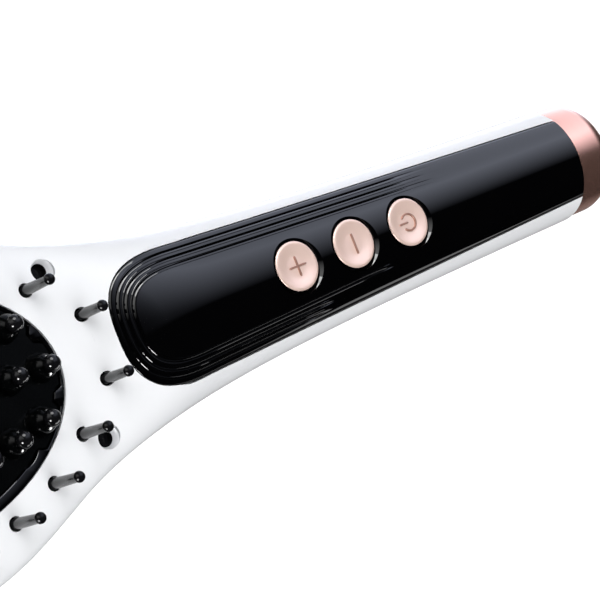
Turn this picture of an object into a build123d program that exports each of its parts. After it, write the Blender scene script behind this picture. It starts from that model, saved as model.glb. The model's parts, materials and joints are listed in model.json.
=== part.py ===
from build123d import *
from math import ceil, copysign, cos, exp, pi, radians, sin, sqrt
import os

# Steam hair straightener brush, lying on its back: +X runs from the tip of the head to the
# cord gland, +Y is across, +Z points out of the bristle face. Everything is in millimetres.

# Overall form of the housing
mid_z = 15.3                # parting plane, where the housing is widest
crest_z = 30.6              # top of the handle
face_z = 23.6               # bristle face of the head
wall = 2.0
head_centre = -87.6
head_half_length = 57.4
head_half_width = 42.0
handle_end = 122.4
handle_end_half_width = 15.35
handle_taper = 0.0157       # half width gained per millimetre towards the head
neck_flare = 9.87           # extra half width where the neck starts
neck_flare_length = 31.0
neck_start = -38.0
head_blend_start = -62.0    # the head's ellipse runs into the neck between these two
rise_start = -43.0          # the face climbs to the handle's crest between these two
rise_end = -8.0
rest_sink = 0.4             # depth cut off the head's back to make it flat
back_arch = 2.5             # how far the back of the neck and handle lifts off the table
head_squareness = 4.0       # exponent of the head's cross-section, 2 is an ellipse
handle_squareness = 2.1
rim_squareness = 5.0
ring_points = 24            # points round a cross-section
station_pitch = 14.0        # between cross-sections of the neck and handle

# Control panel
panel_thickness = 1.95
panel_gap = 0.1
panel_end_half_width = 10.85
panel_taper = 0.0378
panel_nose_start = -9.0
panel_nose_length = 18.3
panel_nose_power = 2.8
shelf_depth = 1.2
shelf_width = 2.2

# Buttons
button_x = {"button_plus": 23.0, "button_minus": 41.25, "button_power": 59.5}
button_radius = 6.15
button_gap = 0.4
button_sink = 0.4           # rim of the cap below the crest of the panel
button_dish = 0.9
button_travel = 0.6
well_radius = 7.3
well_depth = 1.7
button_edge = 0.4           # chamfer round the cap
button_flange = 1.0
button_flange_drop = 4.8
button_stem_radius = 2.0
button_stem_gap = 0.1
switch_side = 6.0
switch_height = 3.0
switch_body_height = 2.6
switch_plunger_radius = 1.7

# Boards
control_board_half_width = 9.3
main_board_half_width = 8.2
board_thickness = 1.6
control_board_start = -12.0
control_board_end = 84.0
control_board_z = 20.4
main_board_start = 4.0
main_board_end = 98.0
main_board_z = 8.8
post_radius = 2.3
post_inset = 4.0
board_screw_radius = 1.0
board_screw_depth = 3.0     # how far a board's screw goes into its post
board_screw_head_radius = 1.9
board_screw_head_height = 1.2
display_start = -6.0
display_end = 14.0
display_half_width = 6.0
display_height = 4.0
choke_x = 20.0
choke_radius = 5.0
choke_height = 8.0
capacitor_start = 30.0
capacitor_end = 46.0
capacitor_radius = 4.0
relay_start = 52.0
relay_end = 64.0
relay_half_width = 6.0
relay_height = 9.0
ion_start = 70.0
ion_end = 90.0
ion_half_width = 6.0
ion_height = 8.0

# Heated plate and its teeth
plate_half_length = 46.0
plate_half_width = 28.0
plate_top = 22.6
plate_flange_z = 19.0
plate_flange_thickness = 1.4
plate_flange_grow = 1.6
bezel_width = 2.5
bezel_top = 23.1
bezel_gap = 0.15
tooth_end_inset = 4.8       # first tooth of the middle row to the end of the plate
middle_teeth = 11
side_teeth = 10
side_row_start = 9.6        # first tooth of a side row to the end of the plate
side_row_in = 10.9          # its distance from the centre line
side_row_out = 16.1         # the same at the middle of the plate
tooth_base_radius = 4.0
tooth_neck_radius = 1.7
tooth_top_radius = 1.35
tooth_flare_height = 1.7
tooth_height = 5.2
tip_radius = 1.65
tip_height = 3.3
scallop_radius = 5.8       # round about each tooth near the plate's edge
scallop_rim = 0.8          # bezel left outside it

# Outer pins and steam outlets
pin_ring_half_length = 53.0
pin_ring_half_width = 32.0
pins_per_side = 9
pin_first_angle = 32.1
pin_radius = 1.35
pin_tip_radius = 0.7
pin_tip_length = 0.8
pin_length = 13.2
pin_hole_radius = 1.7
neck_pins = [(-32.8, 7.65), (-32.8, -7.65)]
neck_pin_length = 11.2
carrier_in = 2.2
carrier_out = 1.1
carrier_top = 19.9
carrier_thickness = 1.3
carrier_tab = 3.2           # radius of the tab under a neck pin
outlet_radius = 2.8
outlet_gap = 0.1
outlet_bore = 2.3
rear_outlet = (50.8, 19.9)  # from the head's centre
outlet_ring_grow = 4.1
outlet_angles = [82.0, 128.0]
outlet_sink = 1.2
sleeve_length = 1.5
riser_wall = 1.0

# Heating and steam
element_half_length = 36.0
element_half_width = 10.0
element_thickness = 1.6
element_corner = 2.0
chamber_half_length = 34.0
chamber_half_width = 17.0
chamber_thickness = 4.6
insulator_thickness = 0.8
insulator_margin = 1.0
manifold_thickness = 2.4
manifold_in = 1.0
manifold_out = 2.8
manifold_play = 0.4
manifold_drop = 1.2
manifold_feed = 6.0         # width of each feed from the chamber
manifold_gap = 11.0         # half width left open for the pump at the neck
fuse_radius = 0.75
fuse_offset = 2.5           # beside the element
fuse_length = 9.0
pump_radius = 7.2
pump_start = -36.0
pump_end = -15.0
pump_z = 11.2
pump_inlet_rise = 3.0
pump_outlet_rise = 1.2
saddle_inset = 2.0
saddle_thickness = 3.0
tube_radius = 1.8
tube_bore = 1.1
nipple_radius = 1.1
nipple_length = 3.0
tube_lead = 4.0             # straight run at each end of a tube
tube_bend = 3.0

# Water tank in the back of the head
tank_half_width = 20.0
tank_height = 10.2
tank_end = -52.0
tank_wall = 1.5
tank_gap = 0.3
tank_lift = 0.4             # the tank's bottom stays this far off the table
tank_rail = 1.4
tank_rail_z = 6.0
tank_rail_height = 2.0
tank_rail_front = -118.0
tank_front_wall = 4.0
plug_radius = 2.3
plug_flange_radius = 3.4
plug_flange_thickness = 1.6
plug_length = 4.2
plug_z = 5.6
plug_depth = 3.2            # seat of the plug's flange, in from the tank's tip
fit_gap = 0.05              # running fit, per side
valve_radius = 2.2
valve_length = 3.6
seal_radius = 4.2
seal_thickness = 1.6

# End cap and cord gland
cap_gap = 0.35
cap_inset = 0.4
cap_straight = 8.0
cap_end = 137.2
cap_nose_radius = 8.2
cap_wall = 4.6
spigot_length = 6.0
spigot_wall = 2.0
spigot_gap = 0.3
gland_end = 145.0
gland_neck_radius = 4.95
gland_head_radius = 6.4
gland_tip_radius = 5.0
gland_bore = 3.4
gland_flange_gap = 0.2
gland_head_width = 2.0
gland_edge = 0.8
clip_width = 1.1
clip_opening = 4.4
clip_radius = 6.6
clip_depth = 0.65

# Housing screws
screw_places = [(-27.0, 18.3), (40.0, 12.3), (106.0, 10.9)]
screw_radius = 1.3
screw_head_radius = 2.5
screw_head_height = 1.9
screw_seat_z = 9.4
screw_top_z = 19.4
boss_radius = 2.6
pillar_radius = 3.7

far = 400.0                 # longer than the whole brush


def soft_step(x, start, end):
    t = min(1.0, max(0.0, (x - start) / (end - start)))
    return t * t * (3.0 - 2.0 * t)


def head_outline(x):
    u = (x - head_centre) / head_half_length
    return head_half_width * sqrt(max(0.0, 1.0 - u * u))


def head_slope(x):
    u = (x - head_centre) / head_half_length
    return -head_half_width / head_half_length * u / sqrt(1.0 - u * u)


def neck_outline(x):
    flare = neck_flare * exp(-(x - neck_start) / neck_flare_length)
    return handle_end_half_width + handle_taper * (handle_end - x) + flare


def neck_slope(x):
    return -handle_taper - neck_flare / neck_flare_length * exp(-(x - neck_start) / neck_flare_length)


def half_width(x):
    """Half the housing's width: an ellipse, a cubic blend, then a flare that dies out."""
    if x <= head_blend_start:
        return head_outline(x)
    if x >= neck_start:
        return neck_outline(x)
    run = neck_start - head_blend_start
    t = (x - head_blend_start) / run
    start = (2 * t**3 - 3 * t**2 + 1) * head_outline(head_blend_start)
    end = (3 * t**2 - 2 * t**3) * neck_outline(neck_start)
    lean_in = (t**3 - 2 * t**2 + t) * run * head_slope(head_blend_start)
    lean_out = (t**3 - t**2) * run * neck_slope(neck_start)
    return start + end + lean_in + lean_out


def rim(x):
    """How much of the head's thickness is left towards its tip."""
    u = min(1.0, max(0.0, (head_centre - x) / head_half_length))
    return (1.0 - u**rim_squareness) ** (1.0 / rim_squareness)


def upper_height(x):
    rise = (crest_z - face_z) * soft_step(x, rise_start, rise_end)
    return (face_z - mid_z + rise) * rim(x)


def lower_height(x):
    run = min(1.0, max(0.0, (x - rise_start) / (handle_end - rise_start)))
    arch = back_arch * sin(pi * run) ** 2
    sink = rest_sink * (1.0 - soft_step(x, head_blend_start, rise_start))
    return (mid_z + sink - arch) * rim(x)


def squareness(x):
    drop = head_squareness - handle_squareness
    return head_squareness - drop * soft_step(x, head_blend_start, 0.0)


def top_at(x, y):
    """Height of the housing's upper surface."""
    power = squareness(x)
    across = min(1.0, abs(y) / half_width(x))
    return mid_z + upper_height(x) * (1.0 - across**power) ** (1.0 / power)


def ring(x, inset):
    """Closed cross-section of the housing at x, inset from its skin."""
    power = 2.0 / squareness(x)
    points = []
    for i in range(ring_points):
        c = cos(2 * pi * i / ring_points)
        s = sin(2 * pi * i / ring_points)
        height = (upper_height(x) if s > 0 else lower_height(x)) - inset
        y = (half_width(x) - inset) * copysign(abs(c) ** power, c)
        points.append((x, y, mid_z + height * copysign(abs(s) ** power, s)))
    return Face(Wire([Edge.make_spline([Vector(*p) for p in points], periodic=True)]))


def form(inset=0.0, end=handle_end):
    """The housing as one smooth solid, or the space inside it at a given inset."""
    tip_angles = [88.5, 84.0, 77.0, 68.0, 56.0, 42.0, 25.0, 8.0]
    reach = head_half_length - inset
    stations = [head_centre - reach * sin(radians(a)) for a in tip_angles]
    first = stations[-1]
    count = ceil((end - first) / station_pitch)
    stations += [first + (end - first) * i / count for i in range(1, count + 1)]
    return loft([ring(x, inset) for x in stations])


def box(x0, x1, y0, y1, z0, z1):
    return Pos((x0 + x1) / 2, (y0 + y1) / 2, (z0 + z1) / 2) * Box(x1 - x0, y1 - y0, z1 - z0)


def rod(x, y, z0, z1, radius):
    return Pos(x, y, (z0 + z1) / 2) * Cylinder(radius, z1 - z0)


def rod_x(x0, x1, y, z, radius):
    return Pos((x0 + x1) / 2, y, z) * Rot(0, 90, 0) * Cylinder(radius, x1 - x0)


def slab(sketch, z0, z1):
    return Pos(0, 0, z0) * extrude(sketch, z1 - z0)


def oval(half_length, half_width_):
    return Pos(head_centre, 0) * Ellipse(half_length, half_width_)


def turned(points):
    """Solid of revolution about Z from (radius, height) points."""
    outline = make_face(Polyline(*[(r, 0, z) for r, z in points], close=True))
    return revolve(outline, Axis.Z)


def turned_x(points):
    """Solid of revolution about the handle's axis from (x, radius) points."""
    outline = make_face(Polyline(*[(x, 0, mid_z + r) for x, r in points], close=True))
    return revolve(outline, Axis((0, 0, mid_z), (1, 0, 0)))


def both_sides(places):
    return [(x, side * y) for x, y in places for side in (1, -1)]


def group(solids):
    return Compound(children=[s if isinstance(s, Solid) else s.solid() for s in solids])


# ---------------------------------------------------------------- places that several pieces share

def panel_half_width(x):
    return panel_end_half_width + panel_taper * (handle_end - x)


def panel_outline(grow=0.0):
    """Plan of the control panel, grown or shrunk all round."""
    wide = panel_half_width(panel_nose_start) + grow
    length = panel_nose_length + grow
    end = panel_half_width(handle_end) + grow
    power = 2.0 / panel_nose_power
    nose = []
    for i in range(13):
        angle = pi / 2 - pi * i / 12
        c, s = abs(cos(angle)) ** power, abs(sin(angle)) ** power
        nose.append((panel_nose_start - length * c, copysign(wide * s, sin(angle))))
    nose[0] = (panel_nose_start, wide)
    nose[12] = (panel_nose_start, -wide)
    slope = (end - wide) / (handle_end - panel_nose_start)
    curve = Spline(*nose, tangents=[(-1, -slope), (1, -slope)])
    back = Polyline(nose[12], (handle_end, -end), (handle_end, end), nose[0])
    return make_face([curve.edge(), *back.edges()])


def middle_row():
    first = plate_half_length - tooth_end_inset
    pitch = 2 * first / (middle_teeth - 1)
    return [(head_centre + first - pitch * i, 0.0) for i in range(middle_teeth)]


def side_rows():
    first = plate_half_length - side_row_start
    pitch = 2 * first / (side_teeth - 1)
    places = []
    for i in range(side_teeth):
        along = first - pitch * i
        bow = 1.0 - (along / first) ** 2
        places.append((head_centre + along, side_row_in + (side_row_out - side_row_in) * bow))
    return both_sides(places)


def ring_pins():
    """Evenly spaced places along the pin ellipse, on both sides and round the tip."""
    steps = 600
    first, last = radians(pin_first_angle), radians(360.0 - pin_first_angle)
    count = 2 * pins_per_side
    path = [first + (last - first) * i / steps for i in range(steps + 1)]
    lengths = [0.0]
    for a, b in zip(path, path[1:]):
        dx = pin_ring_half_length * (cos(b) - cos(a))
        dy = pin_ring_half_width * (sin(b) - sin(a))
        lengths.append(lengths[-1] + sqrt(dx * dx + dy * dy))
    places = []
    for k in range(count + 1):
        target = lengths[-1] * k / count
        i = min(range(steps + 1), key=lambda n: abs(lengths[n] - target))
        x = head_centre + pin_ring_half_length * cos(path[i])
        places.append((x, pin_ring_half_width * sin(path[i])))
    return places


def outlets():
    places = [(head_centre + rear_outlet[0], rear_outlet[1])]
    for angle in outlet_angles:
        x = head_centre + (pin_ring_half_length + outlet_ring_grow) * cos(radians(angle))
        places.append((x, (pin_ring_half_width + outlet_ring_grow) * sin(radians(angle))))
    return both_sides(places)


def board_holes(start, end, half_width_):
    across = half_width_ - post_inset / 2
    return both_sides([(start + post_inset, across), (end - post_inset, across)])


def tank_prism(grow=0.0, rail_front=tank_rail_front):
    """The tank's straight-sided block with its rails, open towards the tip."""
    body = box(-far, tank_end + grow, -tank_half_width - grow, tank_half_width + grow,
               -far, tank_height + grow)
    rail = tank_half_width + tank_rail + grow
    return body + box(rail_front, tank_end + grow, -rail, rail,
                      tank_rail_z - grow, tank_rail_z + tank_rail_height + grow)


skin = form()
inner = form(wall, handle_end + 1)
upper = box(-far, far, -far, far, mid_z, far)
lower = box(-far, far, -far, far, 0.0, mid_z)
chamber_top = plate_flange_z - element_thickness
chamber_z = chamber_top - chamber_thickness
insulator_z = chamber_z - insulator_thickness
nipple_z = chamber_z + chamber_thickness / 2


# ---------------------------------------------------------------- housing

def front_cover():
    """White upper shell: bristle face with its oval window, pin holes, outlets and panel seat."""
    shell = (skin - inner) & upper
    window = oval(plate_half_length + panel_gap, plate_half_width + panel_gap)
    holes = [slab(panel_outline(panel_gap), mid_z, far / 4), slab(window, mid_z, far / 4)]
    holes += [rod(x, y, mid_z, crest_z, pin_hole_radius) for x, y in ring_pins() + neck_pins]
    holes += [rod(x, y, mid_z, crest_z, outlet_radius) for x, y in outlets()]
    shell -= holes
    shelf = slab(panel_outline(shelf_width / 2) - panel_outline(-shelf_width), mid_z + 4, far / 4)
    shelf &= inner - form(wall + shelf_depth, handle_end + 1)
    shelf &= box(-far, handle_end - spigot_length - 1, -far, far, mid_z, far)
    bosses = [rod(x, y, mid_z, top_at(x, y), boss_radius) for x, y in both_sides(screw_places)]
    bosses = Part() + bosses & inner
    shell += [shelf] + bosses.solids()
    return shell - [rod(x, y, mid_z, screw_top_z, screw_radius) for x, y in both_sides(screw_places)]


def back_cover():
    """White lower shell: tank bay, pump saddles, board posts and screw pillars."""
    bay_half_width = tank_half_width + tank_rail + tank_gap + wall
    bay_end = tank_end + tank_gap + wall
    posts = board_holes(main_board_start, main_board_end, main_board_half_width)
    screws = both_sides(screw_places)
    inside = [box(head_centre - head_half_length, bay_end, -bay_half_width, bay_half_width, 0, insulator_z)]
    for x in (pump_start + saddle_inset, pump_end - saddle_inset - saddle_thickness):
        inside.append(box(x, x + saddle_thickness, -pump_radius, pump_radius, 0, pump_z - 2))
    inside += [rod(x, y, 0, main_board_z, post_radius) for x, y in posts]
    inside += [rod(x, y, 0, mid_z, pillar_radius) for x, y in screws]
    inside = Part() + inside & form(wall / 2)
    shell = ((skin - inner) & lower) + inside.solids()
    holes = [tank_prism(tank_gap, -far), rod_x(tank_end, bay_end + 1, 0, plug_z, seal_radius),
             rod_x(pump_start, pump_end, 0, pump_z, pump_radius)]
    holes += [rod(x, y, main_board_z - board_screw_depth, main_board_z, board_screw_radius) for x, y in posts]
    holes += [rod(x, y, -far, screw_seat_z, screw_head_radius + 0.2) for x, y in screws]
    holes += [rod(x, y, 0, mid_z, screw_radius) for x, y in screws]
    return shell - holes


def control_panel():
    """Black curved fascia with three wells, and posts for the board."""
    plate = slab(panel_outline(), mid_z, far / 4) & (skin - form(panel_thickness, handle_end + 1))
    posts = board_holes(control_board_start, control_board_end, control_board_half_width)
    board_top = control_board_z + board_thickness
    feet = [rod(x, y, board_top, crest_z, post_radius) for x, y in posts]
    plate += (Part() + feet & form(panel_thickness / 2)).solids()
    hole = button_radius + button_gap
    mouth = hole + (well_radius - hole) * (well_depth + 1) / well_depth
    bevel = turned([(0, crest_z - well_depth), (hole, crest_z - well_depth),
                    (mouth, crest_z + 1), (0, crest_z + 1)])
    cuts = [Pos(x, 0, 0) * bevel for x in button_x.values()]
    cuts += [rod(x, 0, mid_z, crest_z + 1, hole) for x in button_x.values()]
    cuts += [rod(x, y, board_top, board_top + board_screw_depth, board_screw_radius) for x, y in posts]
    return plate - cuts


def button(x):
    """Dished round cap with a flange that the panel holds and a stem for the switch."""
    rim_z = crest_z - button_sink
    flange_top = crest_z - button_flange_drop + button_flange
    flange_z = crest_z - button_flange_drop
    stem_z = control_board_z + board_thickness + switch_height + button_travel + button_stem_gap
    radius = (button_radius**2 + button_dish**2) / (2 * button_dish)
    flange_radius = button_radius + button_flange
    cap = turned([(0, stem_z), (button_stem_radius, stem_z), (button_stem_radius, flange_z),
                  (flange_radius, flange_z), (flange_radius, flange_top), (button_radius, flange_top),
                  (button_radius, rim_z - button_edge), (button_radius - button_edge, rim_z), (0, rim_z)])
    dish = Pos(0, 0, rim_z + radius - button_dish / 2) * Sphere(radius)
    return Pos(x, 0, 0) * (cap - dish)


def end_cap():
    """Rose-gold end of the handle: spigot inside the housing, straight band, domed end."""
    radius = handle_end_half_width - cap_inset
    start = handle_end + cap_gap
    plug = handle_end_half_width - wall - spigot_gap
    corner = start + cap_straight
    dome = []
    for i in range(7):
        angle = radians(15.0 * i)
        dome.append((corner + (cap_end - corner) * sin(angle),
                     cap_nose_radius + (radius - cap_nose_radius) * cos(angle)))
    hole = gland_neck_radius + fit_gap
    inside = cap_end - cap_wall
    return turned_x([(handle_end - spigot_length, plug - spigot_wall), (handle_end - spigot_length, plug),
                     (start, plug), (start, radius)] + dome
                    + [(cap_end, hole), (inside, hole), (inside, plug - spigot_wall - 1),
                       (corner, plug - spigot_wall)])


def cord_gland():
    """Swivelling gland with a bore for the mains cord and a groove for its clip."""
    clip_start = cap_end - cap_wall - gland_flange_gap - clip_width
    groove = gland_neck_radius - clip_depth
    head = cap_end + gland_flange_gap
    start = clip_start - gland_head_width
    return turned_x([(start, gland_bore), (start, gland_neck_radius),
                     (clip_start, gland_neck_radius), (clip_start, groove),
                     (clip_start + clip_width, groove), (clip_start + clip_width, gland_neck_radius),
                     (head, gland_neck_radius), (head, gland_head_radius),
                     (head + gland_head_width, gland_head_radius), (gland_end - gland_edge, gland_tip_radius),
                     (gland_end, gland_tip_radius - gland_edge), (gland_end, gland_bore)])


def gland_clip():
    """Open spring ring that keeps the gland in the end cap."""
    start = cap_end - cap_wall - gland_flange_gap - clip_width
    bore = gland_neck_radius - clip_depth
    clip = rod_x(start, start + clip_width, 0, mid_z, clip_radius)
    clip -= rod_x(start, start + clip_width, 0, mid_z, bore)
    half = clip_opening / 2
    return clip - box(start, start + clip_width, -half, half, mid_z, mid_z + clip_radius)


# ---------------------------------------------------------------- heated plate and bristles

def plate_window(grow=0.0):
    """Bezel's opening: an oval with a scallop about each tooth that stands near its edge."""
    rows, sides = middle_row(), side_rows()
    places = [rows[0], rows[-1]] + sides[:4] + sides[-4:]
    rounds = [Pos(*place) * Circle(scallop_radius + grow) for place in places]
    rim_gap = scallop_rim - grow
    rounds = Sketch() + rounds & oval(plate_half_length - rim_gap, plate_half_width - rim_gap)
    return oval(plate_half_length - bezel_width + grow, plate_half_width - bezel_width + grow) + rounds


def plate_bezel():
    seat = plate_flange_z + plate_flange_thickness
    ring_sketch = oval(plate_half_length, plate_half_width) - plate_window()
    return slab(ring_sketch, seat, bezel_top)


def heater_plate():
    flange = oval(plate_half_length + plate_flange_grow, plate_half_width + plate_flange_grow)
    base = slab(flange, plate_flange_z, plate_flange_z + plate_flange_thickness)
    return base + slab(plate_window(-bezel_gap), plate_flange_z, plate_top)


def heater_teeth():
    tooth = turned([(0, plate_top), (tooth_base_radius, plate_top),
                    (tooth_neck_radius, plate_top + tooth_flare_height),
                    (tooth_top_radius, plate_top + tooth_height), (0, plate_top + tooth_height)])
    return group([Pos(x, y, 0) * tooth for x, y in middle_row() + side_rows()])


def tooth_tips():
    base = plate_top + tooth_height
    tip = turned([(0, base), (tip_radius * 0.75, base), (tip_radius, base + tip_height * 0.45),
                  (tip_radius * 0.55, base + tip_height), (0, base + tip_height)])
    return group([Pos(x, y, 0) * tip for x, y in middle_row() + side_rows()])


def pin_lengths():
    return [(x, y, pin_length) for x, y in ring_pins()] + [(x, y, neck_pin_length) for x, y in neck_pins]


def outer_pins():
    pins = []
    for x, y, length in pin_lengths():
        top = top_at(x, y) + length
        pin = turned([(0, carrier_top), (pin_radius, carrier_top), (pin_radius, top - pin_tip_length),
                      (pin_tip_radius, top), (0, top)])
        pins.append(Pos(x, y, 0) * pin)
    return group(pins)


def pin_carrier():
    """Oval ring under the face that the outer pins stand on."""
    ring_sketch = oval(pin_ring_half_length + carrier_out, pin_ring_half_width + carrier_out)
    for x, y in neck_pins:
        ring_sketch += Pos(x, y) * Circle(carrier_tab)
        ring_sketch += Pos(x - carrier_tab, y) * Rectangle(2 * carrier_tab, 2 * carrier_tab)
    ring_sketch -= oval(pin_ring_half_length - carrier_in, pin_ring_half_width - carrier_in)
    return slab(ring_sketch, carrier_top - carrier_thickness, carrier_top)


# ---------------------------------------------------------------- heating and steam

def heating_element():
    outline = RectangleRounded(2 * element_half_length, 2 * element_half_width, element_corner)
    return slab(Pos(head_centre, 0) * outline, chamber_top, plate_flange_z)


def steam_chamber():
    body = slab(oval(chamber_half_length, chamber_half_width), chamber_z, chamber_top)
    end = head_centre + chamber_half_length
    return body + rod_x(end - 2, end + nipple_length, 0, nipple_z, nipple_radius)


def chamber_insulator():
    outline = oval(chamber_half_length + insulator_margin, chamber_half_width + insulator_margin)
    return slab(outline, insulator_z, chamber_z)


def thermal_fuse():
    return rod_x(head_centre - fuse_length / 2, head_centre + fuse_length / 2,
                 element_half_width + fuse_offset, chamber_top + fuse_radius, fuse_radius)


def manifold_top():
    return carrier_top - carrier_thickness - manifold_drop


def steam_manifold():
    """Silicone ring duct with a riser under each outlet and two feeds from the chamber."""
    top = manifold_top()
    duct = oval(pin_ring_half_length + manifold_out, pin_ring_half_width + manifold_out)
    duct += [Pos(x, y) * Circle(outlet_radius + riser_wall) for x, y in outlets()]
    duct -= oval(pin_ring_half_length - manifold_in, pin_ring_half_width - manifold_in)
    feed = pin_ring_half_width - chamber_half_width
    duct += [Pos(head_centre, side * (chamber_half_width + feed / 2)) * Rectangle(manifold_feed, feed)
             for side in (1, -1)]
    duct -= Pos(head_centre + head_half_length, 0) * Rectangle(head_half_length, 2 * manifold_gap)
    duct &= oval(head_half_length - wall - manifold_play, head_half_width - wall - manifold_play)
    duct = slab(duct, top - manifold_thickness, top)
    risers = [rod(x, y, top - 0.5, top_at(x, y) - outlet_sink - sleeve_length, outlet_radius - outlet_gap)
              for x, y in outlets()]
    return duct + risers - [rod(x, y, top - 1, crest_z, outlet_bore) for x, y in outlets()]


def outlet_sleeves():
    sleeves = []
    for x, y in outlets():
        top = top_at(x, y) - outlet_sink
        sleeve = rod(x, y, top - sleeve_length, top, outlet_radius - outlet_gap)
        sleeves.append(sleeve - rod(x, y, top - sleeve_length, top, outlet_bore))
    return group(sleeves)


def pump():
    body = rod_x(pump_start, pump_end, 0, pump_z, pump_radius)
    for z in (plug_z + pump_inlet_rise, nipple_z + pump_outlet_rise):
        body += rod_x(pump_start - nipple_length, pump_start + 1, 0, z, nipple_radius)
    return body


def tube(start, start_z, end, end_z):
    """Bent silicone tube on the middle plane with a straight run at each end."""
    points = [(start, start_z), (start + tube_lead, start_z), (end - tube_lead, end_z), (end, end_z)]
    path = FilletPolyline(*[(x, 0, z) for x, z in points], radius=tube_bend)
    section = Plane(origin=path @ 0, z_dir=path % 0)
    return sweep(section * Circle(tube_radius), path=path) - sweep(section * Circle(tube_bore), path=path)


def feed_tube():
    start = tank_end + tank_gap + wall + nipple_length
    return tube(start, plug_z, pump_start, plug_z + pump_inlet_rise)


def delivery_tube():
    return tube(head_centre + chamber_half_length, nipple_z, pump_start, nipple_z + pump_outlet_rise)


# ---------------------------------------------------------------- water tank

def water_tank():
    """Tank that slides out of the head's back towards the tip, with its outlet nipple."""
    shape = tank_prism() & skin & box(-far, far, -far, far, tank_lift, far)
    room = box(head_centre - head_half_length + tank_front_wall, tank_end - tank_wall,
               tank_wall - tank_half_width, tank_half_width - tank_wall,
               tank_lift + tank_wall, tank_height - tank_wall)
    shape -= room & form(tank_wall)
    tip = plug_seat()
    shape -= rod_x(-far, tip, 0, plug_z, plug_flange_radius + 0.2)
    shape -= rod_x(tip, tip + plug_length + 3, 0, plug_z, plug_radius + fit_gap)
    shape += rod_x(tank_end - tank_wall, tank_end + valve_length, 0, plug_z, valve_radius)
    return shape - rod_x(tank_end - 3, tank_end + valve_length, 0, plug_z, nipple_radius)


def plug_seat():
    """Where the plug's flange sits against the tank."""
    return head_centre - head_half_length + plug_depth


def tank_plug():
    tip = plug_seat()
    return (rod_x(tip - plug_flange_thickness, tip, 0, plug_z, plug_flange_radius)
            + rod_x(tip, tip + plug_length, 0, plug_z, plug_radius))


def tank_seal():
    start = tank_end + tank_gap
    seal = rod_x(start, start + seal_thickness, 0, plug_z, seal_radius)
    return seal - rod_x(start, start + seal_thickness, 0, plug_z, valve_radius + fit_gap)


# ---------------------------------------------------------------- electrics

def board(start, end, half_width_, z):
    plate = box(start, end, -half_width_, half_width_, z, z + board_thickness)
    holes = board_holes(start, end, half_width_)
    return plate - [rod(x, y, z, z + board_thickness, board_screw_radius) for x, y in holes]


def tact_switches():
    z = control_board_z + board_thickness
    half = switch_side / 2
    return group([box(x - half, x + half, -half, half, z, z + switch_body_height)
                  + rod(x, 0, z + switch_body_height, z + switch_height, switch_plunger_radius)
                  for x in button_x.values()])


def display_module():
    z = control_board_z + board_thickness
    return box(display_start, display_end, -display_half_width, display_half_width, z, z + display_height)


def power_parts():
    z = main_board_z + board_thickness
    choke = rod(choke_x, 0, z, z + choke_height, choke_radius)
    capacitor = rod_x(capacitor_start, capacitor_end, capacitor_radius,
                      z + capacitor_radius, capacitor_radius)
    relay = box(relay_start, relay_end, -relay_half_width, relay_half_width, z, z + relay_height)
    return group([choke, capacitor, relay])


def ion_generator():
    z = main_board_z + board_thickness
    return box(ion_start, ion_end, -ion_half_width, ion_half_width, z, z + ion_height)


def board_screw_head(x, y, z):
    return rod(x, y, z, z + board_screw_head_height, board_screw_head_radius)


def board_screws():
    screws = []
    for x, y in board_holes(control_board_start, control_board_end, control_board_half_width):
        z = control_board_z
        end = z + board_thickness + board_screw_depth
        head = board_screw_head(x, y, z - board_screw_head_height)
        screws.append(head + rod(x, y, z, end, board_screw_radius))
    for x, y in board_holes(main_board_start, main_board_end, main_board_half_width):
        z = main_board_z + board_thickness
        end = z - board_thickness - board_screw_depth
        screws.append(board_screw_head(x, y, z) + rod(x, y, end, z, board_screw_radius))
    return group(screws)


def housing_screws():
    screws = []
    for x, y in both_sides(screw_places):
        head = rod(x, y, screw_seat_z - screw_head_height, screw_seat_z, screw_head_radius)
        screws.append(head + rod(x, y, screw_seat_z, screw_top_z, screw_radius))
    return group(screws)


def write(name, part):
    export_step(part, os.path.join("parts", name + ".step"))


def main():
    os.makedirs("parts", exist_ok=True)
    makers = [front_cover, back_cover, control_panel, end_cap, cord_gland, gland_clip, plate_bezel,
              heater_plate, heater_teeth, tooth_tips, outer_pins, pin_carrier, heating_element,
              steam_chamber, chamber_insulator, thermal_fuse, steam_manifold, outlet_sleeves, pump,
              feed_tube, delivery_tube, water_tank, tank_plug, tank_seal, tact_switches,
              display_module, power_parts, ion_generator, board_screws, housing_screws]
    for maker in makers:
        write(maker.__name__, maker())
    for name, x in button_x.items():
        write(name, button(x))
    write("control_board", board(control_board_start, control_board_end, control_board_half_width,
                                 control_board_z))
    write("main_board", board(main_board_start, main_board_end, main_board_half_width, main_board_z))


main()
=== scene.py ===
import json
import math

import bmesh
import bpy
import numpy as np
from mathutils import Matrix, Vector


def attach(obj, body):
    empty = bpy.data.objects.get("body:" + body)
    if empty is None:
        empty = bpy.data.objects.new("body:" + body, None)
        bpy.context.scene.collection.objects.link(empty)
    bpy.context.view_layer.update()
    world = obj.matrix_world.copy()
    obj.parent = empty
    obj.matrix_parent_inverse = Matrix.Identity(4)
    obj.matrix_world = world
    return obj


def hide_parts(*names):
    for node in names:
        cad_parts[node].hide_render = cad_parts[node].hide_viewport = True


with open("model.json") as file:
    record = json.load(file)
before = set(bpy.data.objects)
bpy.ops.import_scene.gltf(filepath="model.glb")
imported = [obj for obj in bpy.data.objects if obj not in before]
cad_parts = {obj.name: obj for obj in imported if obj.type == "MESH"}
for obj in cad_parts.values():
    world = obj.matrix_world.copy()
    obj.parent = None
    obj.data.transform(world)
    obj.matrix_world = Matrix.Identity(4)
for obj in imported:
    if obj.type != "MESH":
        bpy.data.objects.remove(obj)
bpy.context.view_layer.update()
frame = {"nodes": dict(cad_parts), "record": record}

mm = 0.001
slotOf = {part["node"]: part["material_slot"] for part in frame["record"]["subparts"]}
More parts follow.
